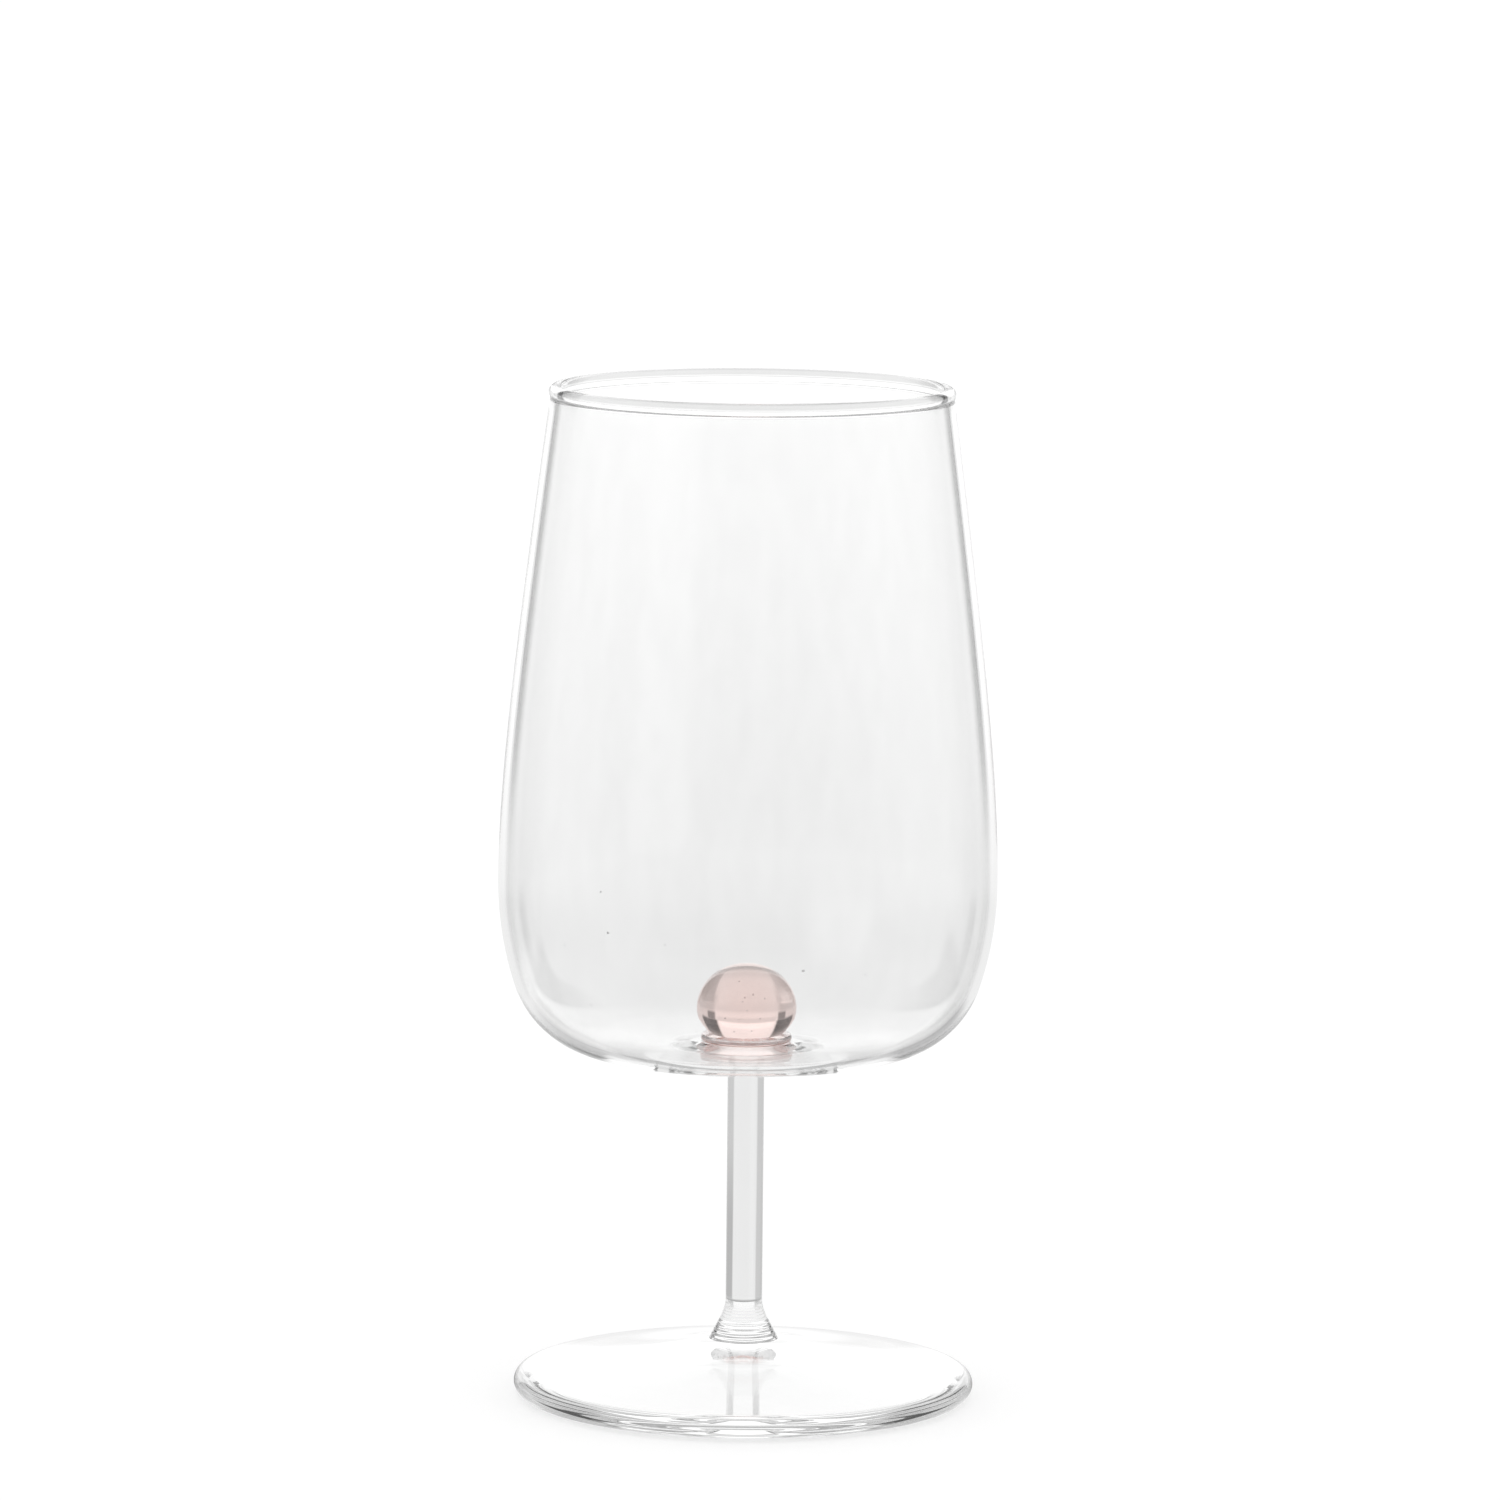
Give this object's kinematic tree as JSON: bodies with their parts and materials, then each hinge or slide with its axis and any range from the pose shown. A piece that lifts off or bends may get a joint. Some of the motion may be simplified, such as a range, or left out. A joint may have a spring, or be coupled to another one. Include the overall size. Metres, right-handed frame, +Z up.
{
  "type": "stemmed glass goblet",
  "caption": "Clear blown-glass goblet with a tall tapering bowl, a thin stem, a round foot and a rose glass ball fused to the bowl's floor, for drinks.",
  "frame": {"origin": "centre of the ring on which the foot rests, on the table", "axes": "+Z up along the axis of the stem; the goblet is round about Z, and the picture looks along +Y"},
  "size_m": [0.0834, 0.0834, 0.17],
  "materials": {
    "clear_glass": "colourless clear glass, fire polished, with a faint grey edge and a few seeds",
    "rose_glass": "clear glass tinted pale rose all through, with a few tiny bubbles"
  },
  "bodies": {
    "root": {"clear_glass": "clear_glass", "rose_ball": "rose_glass"}
  },
  "joints": []
}
